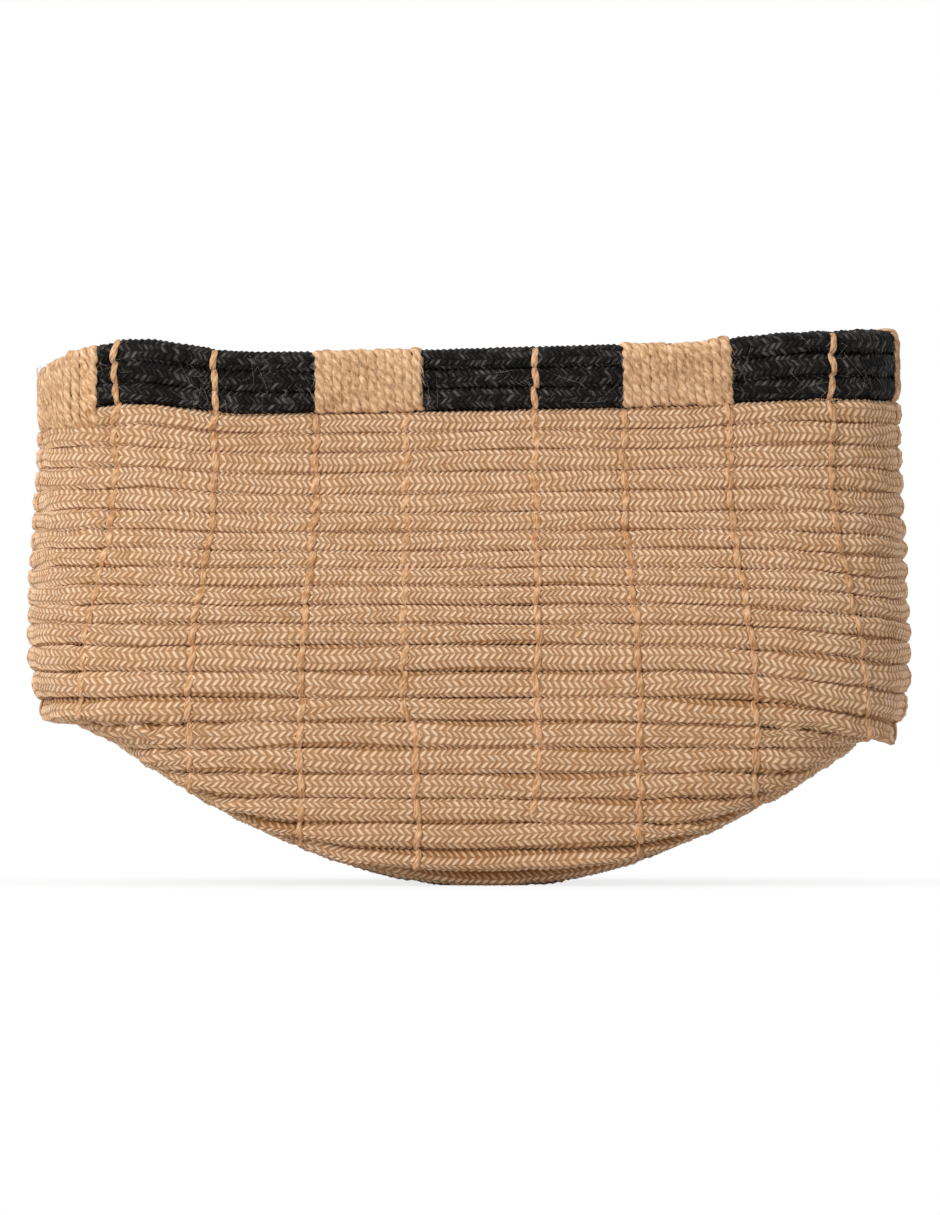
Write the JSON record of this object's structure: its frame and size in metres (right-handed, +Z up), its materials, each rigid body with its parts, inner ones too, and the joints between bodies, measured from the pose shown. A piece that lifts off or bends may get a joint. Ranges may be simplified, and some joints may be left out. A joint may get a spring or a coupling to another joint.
{
  "type": "storage basket",
  "caption": "Oval-cornered storage basket coiled from braided jute rope, with a black rope rim bound in twine and vertical yarn stitching.",
  "frame": {"origin": "On the floor under the middle of the basket.", "axes": "+X is to the right along the long side, -Y is the front that the picture shows, +Z is up out of the mouth."},
  "size_m": [0.4054, 0.2833, 0.2542],
  "materials": {
    "jute_rope": "matte braided natural jute, slightly hairy",
    "black_rope": "matte braided jute dyed black",
    "twine": "matte two-ply natural jute twine",
    "yarn": "matte single jute stitching yarn"
  },
  "bodies": {
    "root": {"rim_rope": "black_rope", "wall_rope": "jute_rope", "base_rope": "jute_rope", "wrap_1": "twine", "wrap_2": "twine", "wrap_3": "twine", "wrap_4": "twine", "wrap_5": "twine", "wrap_6": "twine", "wrap_7": "twine", "wrap_8": "twine", "stitch_01": "yarn", "stitch_02": "yarn", "stitch_03": "yarn", "stitch_04": "yarn", "stitch_05": "yarn", "stitch_06": "yarn", "stitch_07": "yarn", "stitch_08": "yarn", "stitch_09": "yarn", "stitch_10": "yarn", "stitch_11": "yarn", "stitch_12": "yarn", "stitch_13": "yarn", "stitch_14": "yarn", "stitch_15": "yarn", "stitch_16": "yarn", "stitch_17": "yarn", "stitch_18": "yarn", "stitch_19": "yarn", "stitch_20": "yarn", "stitch_21": "yarn", "stitch_22": "yarn", "stitch_23": "yarn", "stitch_24": "yarn"}
  },
  "joints": []
}
